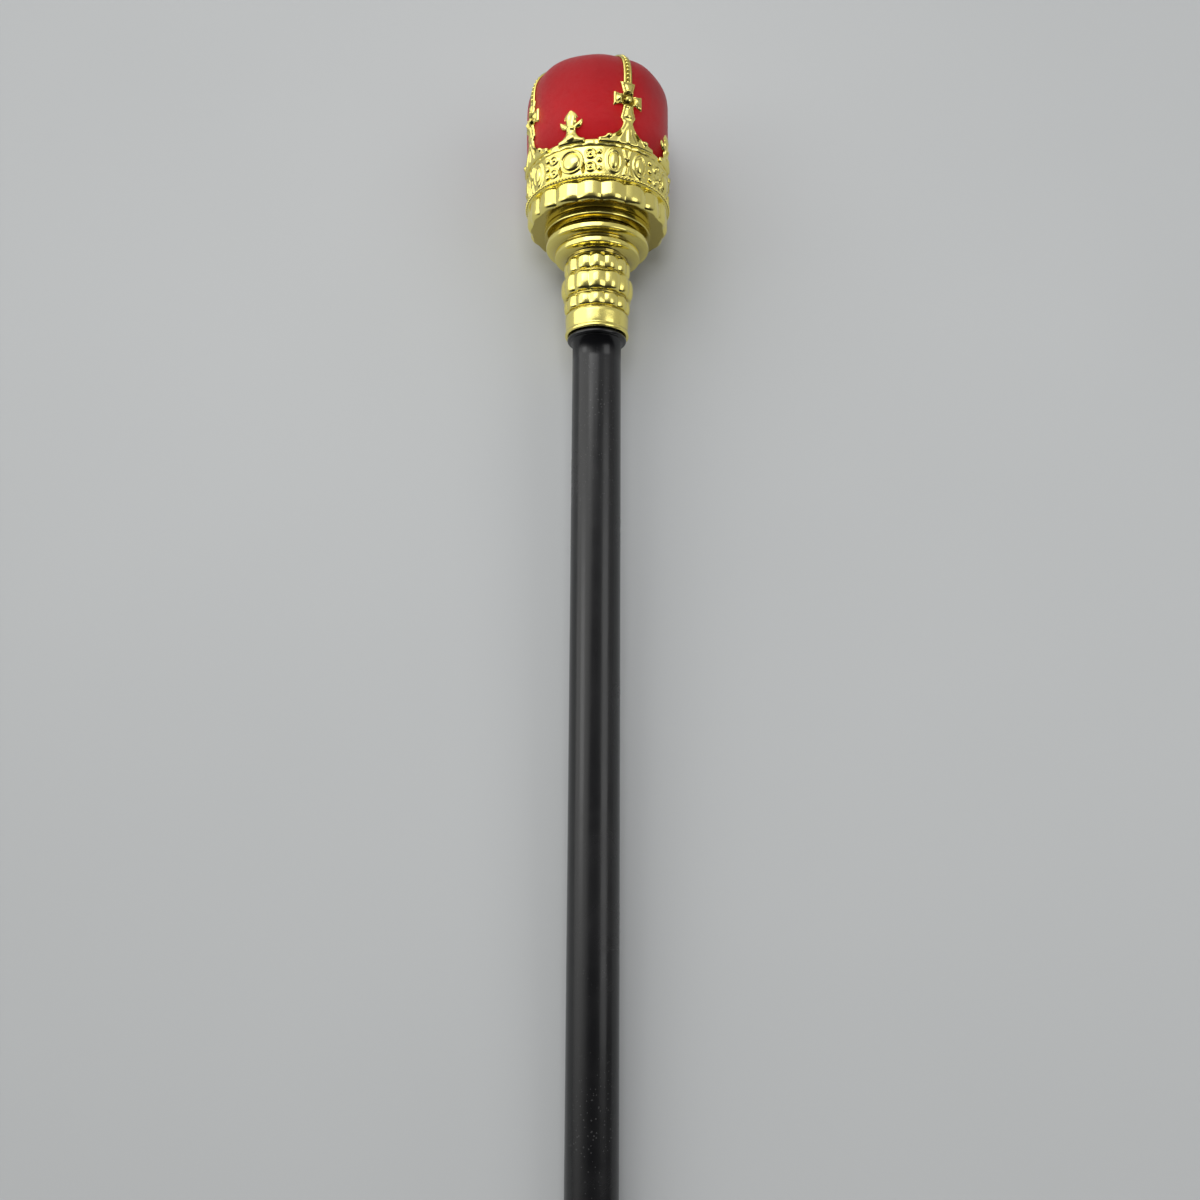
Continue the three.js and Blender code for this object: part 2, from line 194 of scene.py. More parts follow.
def ring_points(radius, height, azimuth):
    return np.stack([radius * np.sin(azimuth), height, radius * np.cos(azimuth)], axis=-1)


def turned(profile, columns, push=None):
    """Points and faces of a profile turned about the axis. The profile runs up the outside
    and down the inside as [radius, height] rows. It closes on itself, or both its ends are
    on the axis. push says how far each row and column of the surface moves outwards."""
    profile = np.asarray(profile, dtype=float)
    on_axis = profile[0, 0] == 0
    rows = profile[1:-1] if on_axis else profile[:-1]
    azimuth = np.arange(columns) * 2 * math.pi / columns
    turn, radius = np.meshgrid(azimuth, rows[:, 0])
    height = np.repeat(rows[:, 1:2], columns, axis=1)
    if push is not None:
        radius = radius + push
    points = ring_points(radius, height, turn).reshape(-1, 3)
    index = np.arange(len(rows) * columns).reshape(len(rows), columns)
    upper = index[1:] if on_axis else np.roll(index, -1, axis=0)
    lower = index[:-1] if on_axis else index
    quads = [lower, np.roll(lower, -1, axis=1), np.roll(upper, -1, axis=1), upper]
    faces = np.stack(quads, axis=-1).reshape(-1, 4).tolist()
    if on_axis:
        first, last = len(points), len(points) + 1
        points = np.vstack([points, [0, profile[0, 1], 0], [0, profile[-1, 1], 0]])
        bottom, top = index[0], index[-1]
        faces += [[first, b, a] for a, b in zip(bottom, np.roll(bottom, -1))]
        faces += [[a, b, last] for a, b in zip(top, np.roll(top, -1))]
    return points, faces


def straight(start, end, steps):
    """Rows from one profile point to another, without the first."""
    share = np.linspace(0, 1, steps + 1)[1:, None]
    return (np.array(start) + share * (np.array(end) - np.array(start))).tolist()


def nose(radius, low, high, depth, steps=12, fullness=2.3):
    """The rounded edge of a moulding between two heights, as deep as depth."""
    rows = []
    for i in range(steps + 1):
        turn = (i / steps - 0.5) * math.pi
        out = math.cos(turn) ** (2 / fullness) if abs(turn) < math.pi / 2 - 1e-9 else 0
        up = math.copysign(abs(math.sin(turn)) ** (2 / fullness), turn)
        rows.append([radius - depth + depth * out, (low + high) / 2 + (high - low) / 2 * up])
    return rows


# Geometry Nodes trees


def new_tree(name, inputs):
    """A Geometry Nodes tree that takes a geometry and named inputs, and gives a geometry."""
    tree = bpy.data.node_groups.new(name, "GeometryNodeTree")
    tree.interface.new_socket("Geometry", in_out="INPUT", socket_type="NodeSocketGeometry")
    for label, kind in inputs:
        tree.interface.new_socket(label, in_out="INPUT", socket_type=kind)
    tree.interface.new_socket("Geometry", in_out="OUTPUT", socket_type="NodeSocketGeometry")
    source = tree.nodes.new("NodeGroupInput")
    sink = tree.nodes.new("NodeGroupOutput")
    return tree, source.outputs, sink.inputs["Geometry"]


def node(tree, kind, inputs=None, **settings):
    """A node with its settings and inputs. An input is a value or another node's output."""
    made = tree.nodes.new(kind)
    for name, value in settings.items():
        setattr(made, name, value)
    for name, value in (inputs or {}).items():
        if isinstance(value, bpy.types.NodeSocket):
            tree.links.new(value, made.inputs[name])
        else:
            made.inputs[name].default_value = value
    return made


def maths(tree, operation, *values):
    """The result of a number node."""
    return node(tree, "ShaderNodeMath", dict(enumerate(values)), operation=operation).outputs[0]


def ranged(tree, value, start, end, low=0.0, high=1.0, smooth=False):
    """A value moved from the range start to end into the range low to high, and kept in it."""
    ends = {"Value": value, "From Min": start, "From Max": end, "To Min": low, "To Max": high}
    kind = "SMOOTHSTEP" if smooth else "LINEAR"
    return node(tree, "ShaderNodeMapRange", ends, interpolation_type=kind).outputs[0]


def noise(tree, place, scale, detail, **inputs):
    """The value of a noise pattern."""
    given = {"Vector": place, "Scale": scale, "Detail": detail}
    given |= {name.capitalize(): value for name, value in inputs.items()}
    return node(tree, "ShaderNodeTexNoise", given).outputs[0]


def apply_tree(made, tree, **values):
    """Runs a tree on an object, by its named inputs, and keeps the result as a plain mesh."""
    modifier = made.modifiers.new(tree.name, "NODES")
    modifier.node_group = tree
    for item in tree.interface.items_tree:
        label = item.name.lower().replace(" ", "_")
        if item.in_out == "INPUT" and label in values:
            modifier[item.identifier] = values[label]
    evaluated = made.evaluated_get(bpy.context.evaluated_depsgraph_get())
    old = made.data
    made.data = bpy.data.meshes.new_from_object(evaluated)
    made.modifiers.remove(modifier)
    bpy.data.meshes.remove(old)
    made.data.name = made.name
    made.data.shade_smooth()
    return made


def end_tree(tree, last, material, result):
    """Makes the last node's instances real, paints them and gives them out."""
    real = node(tree, "GeometryNodeRealizeInstances", {"Geometry": last.outputs[0]})
    painted = node(
        tree, "GeometryNodeSetMaterial", {"Geometry": real.outputs[0], "Material": material}
    )
    tree.links.new(painted.outputs[0], result)


def lobe_tree():
    """Cuts upright valleys between lobes. It reads each vertex's azimuth, and how much of
    the cut it takes, and pushes it towards the axis."""
    tree, given, result = new_tree(
        "carve lobes",
        [("Lobe Count", "NodeSocketFloat"), ("Lobe Depth", "NodeSocketFloat"),
         ("Crest Azimuth", "NodeSocketFloat"), ("Material", "NodeSocketMaterial")],
    )
    azimuth = node(tree, "GeometryNodeInputNamedAttribute", {"Name": "azimuth"})
    share = node(tree, "GeometryNodeInputNamedAttribute", {"Name": "lobe_share"})
    inward = node(
        tree, "GeometryNodeInputNamedAttribute", {"Name": "inward"}, data_type="FLOAT_VECTOR"
    )
    turn = maths(tree, "SUBTRACT", azimuth.outputs[0], given["Crest Azimuth"])
    half_count = maths(tree, "MULTIPLY", given["Lobe Count"], 0.5)
    wave = maths(tree, "COSINE", maths(tree, "MULTIPLY", turn, half_count))
    valley = maths(tree, "SUBTRACT", 1.0, maths(tree, "ABSOLUTE", wave))
    shared = maths(tree, "MULTIPLY", valley, share.outputs[0])
    depth = maths(tree, "MULTIPLY", shared, given["Lobe Depth"])
    offset = node(
        tree, "ShaderNodeVectorMath", {0: inward.outputs[0], "Scale": depth}, operation="SCALE"
    )
    carved = node(
        tree, "GeometryNodeSetPosition",
        {"Geometry": given["Geometry"], "Offset": offset.outputs[0]},
    )
    end_tree(tree, carved, given["Material"], result)
    return tree


def pearl_tree():
    """A pearl on each point, or at an even pitch along each edge path."""
    tree, given, result = new_tree(
        "pearls",
        [("Radius", "NodeSocketFloat"), ("Pitch", "NodeSocketFloat"),
         ("Along Paths", "NodeSocketBool"), ("Material", "NodeSocketMaterial")],
    )
    path = node(tree, "GeometryNodeMeshToCurve", {"Mesh": given["Geometry"]})
    paced = node(
        tree, "GeometryNodeResampleCurve",
        {"Curve": path.outputs[0], "Length": given["Pitch"]}, mode="LENGTH",
    )
    stops = node(tree, "GeometryNodeCurveToPoints", {"Curve": paced.outputs[0]}, mode="EVALUATED")
    sites = node(tree, "GeometryNodeMeshToPoints", {"Mesh": given["Geometry"]})
    points = node(
        tree, "GeometryNodeSwitch",
        {"Switch": given["Along Paths"], "False": sites.outputs[0], "True": stops.outputs[0]},
        input_type="GEOMETRY",
    )
    pearl = node(
        tree, "GeometryNodeMeshUVSphere",
        {"Segments": 10, "Rings": 6, "Radius": given["Radius"]},
    )
    smooth = node(tree, "GeometryNodeSetShadeSmooth", {"Geometry": pearl.outputs[0]})
    placed = node(
        tree, "GeometryNodeInstanceOnPoints",
        {"Points": points.outputs[0], "Instance": smooth.outputs[0]},
    )
    end_tree(tree, placed, given["Material"], result)
    return tree


# Shader groups and materials


def new_group(name, inputs, outputs):
    """A shader node group with named number inputs and named outputs."""
    group = bpy.data.node_groups.new(name, "ShaderNodeTree")
    for label, value in inputs:
        socket = group.interface.new_socket(label, in_out="INPUT", socket_type="NodeSocketFloat")
        socket.default_value = value
    for label in outputs:
        group.interface.new_socket(label, in_out="OUTPUT", socket_type="NodeSocketFloat")
    source, sink = group.nodes.new("NodeGroupInput"), group.nodes.new("NodeGroupOutput")
    return group, source.outputs, sink.inputs


def moulded_surface_group():
    """The soft ripple, fine grain and dust of a moulded plastic surface. Sizes are in
    ripples and grains to the metre."""
    group, given, result = new_group(
        "moulded surface",
        [("Ripple Scale", 90.0), ("Grain Scale", 1400.0), ("Grain Share", 0.3)],
        ["Height", "Smear", "Dust"],
    )
    place = node(group, "ShaderNodeTexCoord").outputs["Object"]
    ripple = noise(group, place, given["Ripple Scale"], 3.0, roughness=0.5)
    grain = noise(group, place, given["Grain Scale"], 2.0, roughness=0.6)
    fine = maths(group, "MULTIPLY", grain, given["Grain Share"])
    height = maths(group, "ADD", ripple, fine)
    smear_noise = noise(group, place, 28.0, 5.0, roughness=0.62, distortion=0.8)
    smear = ranged(group, smear_noise, 0.42, 0.72)
    specks = node(group, "ShaderNodeTexVoronoi", {"Vector": place, "Scale": 620.0})
    size = ranged(group, noise(group, place, 16.0, 2.0), 0.45, 0.75, 0.0, 0.22)
    dust = maths(group, "LESS_THAN", specks.outputs["Distance"], size)
    group.links.new(height, result["Height"])
    group.links.new(smear, result["Smear"])
    group.links.new(dust, result["Dust"])
    return group


def new_material(name):
    material = bpy.data.materials.new(name)
    material.use_nodes = True
    tree = material.node_tree
    shader = tree.nodes["Principled BSDF"]
    return material, tree, shader


def mixed(tree, share, first, second):
    """A colour between two, by a share."""
    mix = node(tree, "ShaderNodeMix", data_type="RGBA")
    given = ((mix.inputs["Factor"], share), (mix.inputs[6], first), (mix.inputs[7], second))
    for socket, value in given:
        if isinstance(value, bpy.types.NodeSocket):
            tree.links.new(value, socket)
        else:
            socket.default_value = value
    return mix.outputs[2]


def colour(red, green, blue):
    return (red, green, blue, 1.0)


def placed_surface(tree, surface, ripple_scale=90.0, grain_scale=1400.0, grain_share=0.3):
    """The shared surface group in a material, with the material's own values."""
    skin = node(tree, "ShaderNodeGroup", node_tree=surface)
    skin.inputs["Ripple Scale"].default_value = ripple_scale
    skin.inputs["Grain Scale"].default_value = grain_scale
    skin.inputs["Grain Share"].default_value = grain_share
    return skin


def add_bump(tree, shader, height, strength, distance):
    given = {"Height": height, "Strength": strength, "Distance": distance}
    bump = node(tree, "ShaderNodeBump", given)
    tree.links.new(bump.outputs[0], shader.inputs["Normal"])


def gold_material(surface):
    """Vacuum-metallised plastic: mirror-bright lemon gold, with shade painted in as a dark brown in
    its grooves, hollows and undersides.
    """
    material, tree, shader = new_material("metallised gold plastic")
    skin = placed_surface(tree, surface, 240.0, 2600.0, 0.12)
    painted_shade = node(tree, "ShaderNodeAttribute", attribute_name="painted_shade")
    place = node(tree, "ShaderNodeTexCoord").outputs["Object"]
    clouds = noise(tree, place, 55.0, 3.0)
    bright = mixed(tree, clouds, colour(0.93, 0.80, 0.20), colour(0.88, 0.78, 0.26))
    # Painted shade: the vertex attribute read above mixes the gold towards dark brown in grooves,
    # hollows and undersides, standing in for shade there.
    shade = mixed(tree, painted_shade.outputs["Fac"], bright, colour(0.24, 0.17, 0.02))
    tree.links.new(shade, shader.inputs["Base Color"])
    rough = ranged(tree, skin.outputs["Smear"], 0.0, 1.0, 0.12, 0.26)
    tree.links.new(rough, shader.inputs["Roughness"])
    add_bump(tree, shader, skin.outputs["Height"], 0.35, 0.00022)
    shader.inputs["Metallic"].default_value = 1.0
    return material


def shaft_material(surface):
    """Black semi-gloss plastic tube, with faint drawn lines along it, smears and dust."""
    material, tree, shader = new_material("black plastic")
    skin = placed_surface(tree, surface)
    place = node(tree, "ShaderNodeTexCoord").outputs["Object"]
    along = node(
        tree, "ShaderNodeMapping",
        {"Vector": place, "Rotation": (-tip, 0, 0), "Scale": (900, 6, 900)},
    )
    lines = noise(tree, along.outputs[0], 1.0, 3.0)
    deep, pale = colour(0.0035, 0.0036, 0.0040), colour(0.0070, 0.0070, 0.0075)
    base = mixed(tree, skin.outputs["Smear"], deep, pale)
    dusty = mixed(tree, skin.outputs["Dust"], base, colour(0.035, 0.035, 0.035))
    tree.links.new(dusty, shader.inputs["Base Color"])
    rough = ranged(tree, skin.outputs["Smear"], 0.0, 1.0, 0.20, 0.30)
    tree.links.new(rough, shader.inputs["Roughness"])
    add_bump(tree, shader, maths(tree, "ADD", lines, skin.outputs["Height"]), 0.3, 0.00006)
    shader.inputs["IOR"].default_value = 1.5
    return material


def flock_material(surface):
    """Red flock: short fibres brushed into light and dark patches, with shade painted over the cap's
    top as a darker red.
    """
    material, tree, shader = new_material("red flock")
    skin = placed_surface(tree, surface, 320.0, 3600.0, 0.8)
    place = node(tree, "ShaderNodeTexCoord").outputs["Object"]
    brushed = noise(tree, place, 60.0, 4.0, roughness=0.65, distortion=0.6)
    patch = mixed(tree, brushed, colour(0.46, 0.003, 0.006), colour(0.72, 0.008, 0.016))
    tuft = mixed(tree, noise(tree, place, 2200.0, 1.0), colour(0.40, 0.002, 0.004), patch)
    worn = mixed(tree, skin.outputs["Smear"], tuft, colour(0.42, 0.002, 0.006))
    # Painted shade: the colour turns a darker red towards the cap's top, along the floor's Y.
    along = node(tree, "ShaderNodeSeparateXYZ", {"Vector": place}).outputs["Y"]
    top_shade_share = ranged(tree, along, *TOP_SHADE_SPAN, smooth=True)
    top_shaded = mixed(tree, top_shade_share, worn, colour(0.27, 0.003, 0.006))
    tree.links.new(top_shaded, shader.inputs["Base Color"])
    add_bump(tree, shader, skin.outputs["Height"], 0.9, 0.0006)
    shader.inputs["Roughness"].default_value = 0.38
    shader.inputs["Specular IOR Level"].default_value = 0.6
    shader.inputs["Specular Tint"].default_value = colour(1.0, 0.34, 0.36)
    shader.inputs["Sheen Weight"].default_value = 0.03
    shader.inputs["Sheen Roughness"].default_value = 0.4
    shader.inputs["Sheen Tint"].default_value = colour(1.0, 0.35, 0.45)
    return material


surface = moulded_surface_group()
gold = gold_material(surface)
black = shaft_material(surface)
flock = flock_material(surface)
carve_lobes = lobe_tree()
pearls = pearl_tree()


def mark_turning(made, lobed, painted_shade):
    """The azimuth, inward direction, share of the lobes' cut and painted shade that the carving
    tree and the gold read; the painted shade darkens the gold's colour where shade falls."""
    places = np.empty(len(made.data.vertices) * 3)
    made.data.vertices.foreach_get("co", places)
    own = np.array(SCEPTRE.inverted().to_3x3()) @ (places.reshape(-1, 3) - SCEPTRE.translation).T
    azimuth = np.arctan2(own[0], own[2])
    inward = np.stack([-np.sin(azimuth), np.zeros(len(azimuth)), -np.cos(azimuth)], axis=-1)
    inward = inward @ np.array(SCEPTRE.to_3x3()).T
    set_attribute(made, "azimuth", azimuth)
    set_attribute(made, "lobe_share", lobed)
    set_attribute(made, "painted_shade", painted_shade)
    attribute = made.data.attributes.new("inward", "FLOAT_VECTOR", "POINT")
    attribute.data.foreach_set("vector", inward.astype(np.float32).ravel())


def finish_piece(made, material, slot, *nodes):
    """Gives a piece its finish, and puts it in the place of its CAD nodes."""
    made.data.materials.clear()
    made.data.materials.append(material)
    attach(made, "root")
    if nodes:
        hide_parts(*nodes)


# Shaft


def build_shaft():
    bore = SHAFT_RADIUS - SHAFT_WALL
    collar_top = SHAFT_LENGTH - FIT_GAP
    collar_bottom = collar_top - COLLAR_HEIGHT
    spigot_top = SHAFT_LENGTH + SPIGOT_LENGTH
    corner = SHAFT_RADIUS - SHAFT_END_ROUND
    end = [[corner + SHAFT_END_ROUND * math.sin(t), SHAFT_END_ROUND * (1 - math.cos(t))]
           for t in np.linspace(0, math.pi / 2, 9)]
    profile = [[0, 0]] + straight([0, 0], [corner, 0], 3)[:-1] + end
    profile += straight([SHAFT_RADIUS, SHAFT_END_ROUND], [SHAFT_RADIUS, collar_bottom], 40)
    profile += nose(SHAFT_RADIUS + COLLAR_STEP, collar_bottom, collar_top, COLLAR_STEP * 0.45, 8)
    profile += [[SHAFT_RADIUS, collar_top], [SHAFT_RADIUS, spigot_top], [bore, spigot_top]]
    profile += [[bore, SHAFT_END_ROUND + SHAFT_WALL], [0, SHAFT_WALL]]
    points, faces = turned(profile, SHAFT_COLUMNS)
    made = add_mesh("black_shaft", points, faces)
    finish_piece(made, black, "shaft", "shaft")


build_shaft()


# Neck


def build_neck():
    above_throat = [UPPER_DISC, TOP_COLLAR]
    throat = neck_top - sum(m["groove"] + m["height"] for m in above_throat)
    hollow_radius = neck_spigot_radius - NECK_SPIGOT_WALL
    top = SHAFT_LENGTH + SLEEVE["height"]
    rim = SHAFT_LENGTH + SLEEVE["chamfer"]
    profile = [[neck_bore, SHAFT_LENGTH], [sleeve_radius - SLEEVE["chamfer"], SHAFT_LENGTH]]
    profile += nose(sleeve_radius + 0.1, SHAFT_LENGTH, rim + 1.2, 0.5, 6)[1:]
    profile += straight(profile[-1], [sleeve_radius - 0.2, rim + 3.5], 3)
    profile += straight(profile[-1], [sleeve_radius, top - 0.5], 4) + [[sleeve_radius - 0.5, top]]
    kinds = [0] * len(profile)
    radius = sleeve_radius
    for moulding in neck_mouldings:
        reach = sleeve_radius + moulding["out"]
        root = min(radius, reach) - GROOVE_DEPTH
        low = top + moulding["groove"]
        groove = [[root + 0.25, top], [root, top + moulding["groove"] / 2], [root + 0.25, low]]
        is_disc = moulding["out"] >= LOWER_DISC["out"]
        deep = 0.8 if is_disc else moulding["out"] * 0.5 + 0.9
        fullness = 5 if is_disc else 2.5
        edge = nose(reach, low, low + moulding["height"], min(reach - root, deep), 16, fullness)
        kinds += [2] * len(groove) + [0 if is_disc else 1] * len(edge)
        profile += groove + edge
        top = low + moulding["height"]
        radius = reach
    inside = [[neck_spigot_radius, neck_top], [neck_spigot_radius, neck_top + NECK_SPIGOT_HEIGHT],
              [hollow_radius, neck_top + NECK_SPIGOT_HEIGHT], [hollow_radius, neck_top],
              [neck_bore, throat], [neck_bore, SHAFT_LENGTH]]
    profile += inside
    kinds += [0] * (len(inside) - 1)
    points, faces = turned(profile, NECK_COLUMNS)
    made = add_mesh("gold_neck", points, faces)
    kind = np.repeat(kinds, NECK_COLUMNS)
    # Painted shade: the grooves between the neck's mouldings get 0.6 of the gold's dark brown shade
    # colour.
    mark_turning(made, kind == 1, (kind == 2) * 0.6)
    apply_tree(made, carve_lobes, lobe_count=float(NECK_LOBES), lobe_depth=NECK_LOBE_DEPTH * MM,
               crest_azimuth=0.0, material=gold)
    finish_piece(made, gold, "gold", "neck")


build_neck()


# Crown


def skin_line():
    """The line up the cap's side and over its dome that the points and arches follow, as
    lengths, [radius, height] places and directions."""
    turn = np.linspace(0, math.pi / 2, 500)
    across = np.cos(turn) ** (2 / CAP_SQUARENESS)
    across[-1] = 0
    up = np.sin(turn) ** (2 / CAP_SQUARENESS)
    dome_height = rim_top + CAP_SHOULDER + (CAP_DOME + FIT_GAP) * up
    dome = np.column_stack([skin_radius * across, dome_height])
    side_height = np.linspace(rim_top - POINT_ROOT, dome_height[0], 101)[:-1]
    side = np.column_stack([np.full(100, skin_radius), side_height])
    line = np.vstack([side, dome])
    steps = np.diff(line, axis=0)
    lengths = np.concatenate([[0], np.cumsum(np.hypot(steps[:, 0], steps[:, 1]))])
    along = np.gradient(line, lengths, axis=0)
    along /= np.linalg.norm(along, axis=1)[:, None]
    return lengths, line, along


skin_lengths, skin_places, skin_directions = skin_line()
skin_length = skin_lengths[-1]


def over_cap(flat, azimuth):
    """Bends flat points, with x sideways, y up from the rim and z outwards, over the cap."""
    x, y, z = np.asarray(flat, dtype=float).T
    where = np.clip(y + POINT_ROOT, 0, skin_length)
    place = [np.interp(where, skin_lengths, skin_places[:, i]) for i in (0, 1)]
    direction = [np.interp(where, skin_lengths, skin_directions[:, i]) for i in (0, 1)]
    reach = skin_radius + z * direction[1]
    turn = x / skin_radius
    side = reach * np.sin(turn)
    out = place[0] - skin_radius + reach * np.cos(turn)
    height = place[1] - z * direction[0]
    cos, sin = math.cos(azimuth), math.sin(azimuth)
    return np.stack([side * cos + out * sin, height, out * cos - side * sin], axis=-1)


def bend_through(start, middle, end, steps=10):
    """Points of a curve that leaves start and reaches end with its pull at middle."""
    share = np.linspace(0, 1, steps + 1)[1:, None]
    start, middle, end = np.array(start), np.array(middle), np.array(end)
    return ((1 - share) ** 2 * start + 2 * share * (1 - share) * middle + share**2 * end).tolist()


def outline(start, *curves):
    """A closed outline from its right side, drawn from the foot to the tip and mirrored.
    Each curve is [end], or [middle, end]."""
    right = [list(start)]
    for curve in curves:
        right += bend_through(right[-1], *curve) if len(curve) == 2 else [list(curve[0])]
    right = np.array(right, dtype=float)
    left = right[::-1] * [-1, 1]
    return np.vstack([right, left[1:] if right[-1, 0] == 0 else left])


def to_outline(points, closed):
    """Each point's distance to a closed outline, the nearest place on it, and whether the
    point is inside."""
    start, end = closed, np.roll(closed, -1, axis=0)
    run = end - start
    offset = points[:, None, :] - start[None]
    share = np.clip((offset * run).sum(-1) / np.maximum((run**2).sum(-1), 1e-12), 0, 1)
    near = start + share[..., None] * run
    distance = np.linalg.norm(points[:, None, :] - near, axis=-1)
    pick = distance.argmin(axis=1)
    rows = np.arange(len(points))
    rising = (start[:, 1] <= points[:, 1:2]) != (end[:, 1] <= points[:, 1:2])
    slope = run[:, 0] / np.where(run[:, 1] == 0, 1e-12, run[:, 1])
    crossed = rising & (points[:, 0:1] < start[:, 0] + (points[:, 1:2] - start[:, 1]) * slope)
    return distance[rows, pick], near[rows, pick], crossed.sum(axis=1) % 2 == 1


def plate(closed, step, relief):
    """A flat moulded ornament: points, faces and painted shade. relief(x, y, edge) gives how far the
    front stands out at a distance from the edge, and how much shade is painted there."""
    low = closed.min(axis=0) - step / 2
    size = np.ceil((closed.max(axis=0) + step / 2 - low) / step).astype(int) + 1
    columns, rows = size
    x, y = np.meshgrid(low[0] + step * np.arange(columns), low[1] + step * np.arange(rows))
    grid = np.stack([x.ravel(), y.ravel()], axis=-1)
    distance, near, inside = to_outline(grid, closed)
    signed = np.where(inside, distance, -distance)
    index = np.arange(len(grid)).reshape(rows, columns)
    corners = [index[:-1, :-1], index[:-1, 1:], index[1:, 1:], index[1:, :-1]]
    corners = np.stack(corners, axis=-1).reshape(-1, 4)
    reach = signed[corners]
    kept = corners[(reach > -0.55 * step).all(axis=1) & (reach.mean(axis=1) > 0)]
    edges = np.concatenate([kept[:, [i, (i + 1) % 4]] for i in range(4)])
    forward = set(map(tuple, edges.tolist()))
    rim = [(a, b) for a, b in forward if (b, a) not in forward]
    on_rim = np.unique(np.array(rim))
    grid[on_rim] = near[on_rim]
    signed[on_rim] = 0
    used = np.unique(kept)
    renumber = np.full(len(grid), -1)
    renumber[used] = np.arange(len(used))
    front, painted_shade = relief(grid[used, 0], grid[used, 1], np.maximum(signed[used], 0))
    count = len(used)
    back = np.column_stack([grid[used], np.zeros(count)])
    points = np.vstack([np.column_stack([grid[used], front]), back])
    quads = renumber[kept]
    faces = quads.tolist() + (quads[:, ::-1] + count).tolist()
    faces += [[renumber[b], renumber[a], renumber[a] + count, renumber[b] + count] for a, b in rim]
    return points, faces, np.concatenate([painted_shade, np.zeros(count)])


def step_up(value, low, high):
    """0 below low, 1 above high, and smooth between."""
    share = np.clip((value - low) / (high - low), 0, 1)
    return share * share * (3 - 2 * share)


def rounded_edge(edge, width, low=0.45, full=POINT_THICKNESS):
    """How far a moulded front stands out near its edge, from low to its full thickness."""
    share = np.clip(edge / width, 0, 1)
    return low + (full - low) * np.sqrt(1 - (1 - share) ** 2)


def ridge(distance, width):
    """A soft line of the given width, 1 along its middle."""
    return np.exp(-((distance / width) ** 2))


def round_dome(distance, radius, rise):
    return rise * np.sqrt(np.clip(1 - (distance / radius) ** 2, 0, 1))


def cross_relief(x, y, edge):
    """Pillowed arms with a raised border, a small jewel in a deep ring at the middle, and two
    deep drops either side of the gable's middle leaf."""
    arms = step_up(y, CROSS["centre"] - CROSS["rise"] - 1.5, CROSS["centre"] - CROSS["rise"] + 0.5)
    front = rounded_edge(edge, 1.0)
    middle = np.hypot(x, y - CROSS["centre"])
    inner = step_up(edge, 0.85, 1.3)
    front += arms * (0.55 * step_up(edge, 1.0, 3.2) - 0.4 * ridge(edge - 1.15, 0.3))
    setting = 1 - step_up(np.abs(middle - CENTRE_JEWEL["setting"]), 0.7, 1.1)
    front += 0.5 * ridge(middle - 3.9, 0.5) - 0.9 * setting
    jewel = round_dome(middle, CENTRE_JEWEL["radius"], CENTRE_JEWEL["rise"])
    front = np.maximum(front, (POINT_THICKNESS + jewel) * (jewel > 0))
    gable = 1 - arms
    side_leaf = ridge(np.abs(x) - 0.5 * (7.5 - y), 0.55)
    leaf = np.maximum(ridge(x, 0.8), side_leaf) * step_up(-y, -9.5, -7)
    front += gable * inner * (0.75 * leaf - 0.35)
    drop = np.hypot((np.abs(x) - 4.6) / 1.7, (y - 2.9 + 0.35 * (np.abs(x) - 4.6)) / 2.2)
    deep = 1 - step_up(drop, 0.6, 1.0)
    front -= 0.7 * deep * inner
    for centre in (-8.7, 8.7):
        bead = np.hypot(x - centre, y - 0.9)
        boss = POINT_THICKNESS - 0.2 + round_dome(bead, 1.3, 0.9)
        front = np.maximum(front, boss * (bead < 1.3))
    # The second value is painted shade: darker gold in the groove inside the arms' border, in the
    # jewel's ring and in the two deep drops.
    groove = np.maximum(arms * ridge(edge - 1.15, 0.35) * 0.6, setting)
    return np.maximum(front, 0.3), np.maximum(groove, deep)


def lily_relief(x, y, edge):
    """Three domed leaves tied by a band, with a vein down the middle one."""
    front = rounded_edge(edge, 1.9)
    leaf_split = np.abs(x) - np.interp(y, [5.0, 8.5, 10.5], [1.1, 2.7, 2.4])
    split = ridge(leaf_split, 0.38) * step_up(y, 5.8, 6.8) * (y < 10.5)
    vein = ridge(x, 0.3) * step_up(y, 8.0, 9.5) * step_up(edge, 0.5, 1.1)
    tie = ridge(y - 4.9, 0.75) * (np.abs(x) < 3.0)
    foot = np.hypot(x / 1.3, y - 0.4)
    front += 0.35 * step_up(edge, 0.8, 2.2) + 0.55 * tie - 0.8 * split - 0.3 * vein
    front = np.maximum(front, (POINT_THICKNESS + round_dome(foot, 1.7, 0.9)) * (foot < 1.7))
    # The second value is painted shade: darker gold in the splits between the leaves and along the
    # vein.
    return np.maximum(front, 0.3), 0.8 * split + 0.4 * vein


def arch_relief(x, y, edge):
    """Raised borders, with a channel for the pearls between, and shade painted over the whole arch,
    darkest in the channel.
    """
    channel = step_up(edge, 0.75, 1.15)
    return rounded_edge(edge, 0.7, full=ARCH_THICKNESS) - 0.4 * channel, 0.35 + 0.4 * channel


def cross_outline():
    foot, top = CROSS["centre"] - CROSS["rise"], CROSS["centre"] + CROSS["rise"]
    centre, reach, end, root = CROSS["centre"], CROSS["reach"], CROSS["end"], CROSS["root"]
    return outline(
        (GABLE_HALF, -POINT_ROOT),
        [(GABLE_HALF, 0)],
        [(end, foot * 0.15), (root, foot * 0.8)],
        [(end, foot)],
        [(root, centre - end), (root, centre - root)],
        [(end, centre - root), (reach, centre - end)],
        [(reach, centre + end)],
        [(end, centre + root), (root, centre + root)],
        [(root, centre + end), (end, top)],
    )


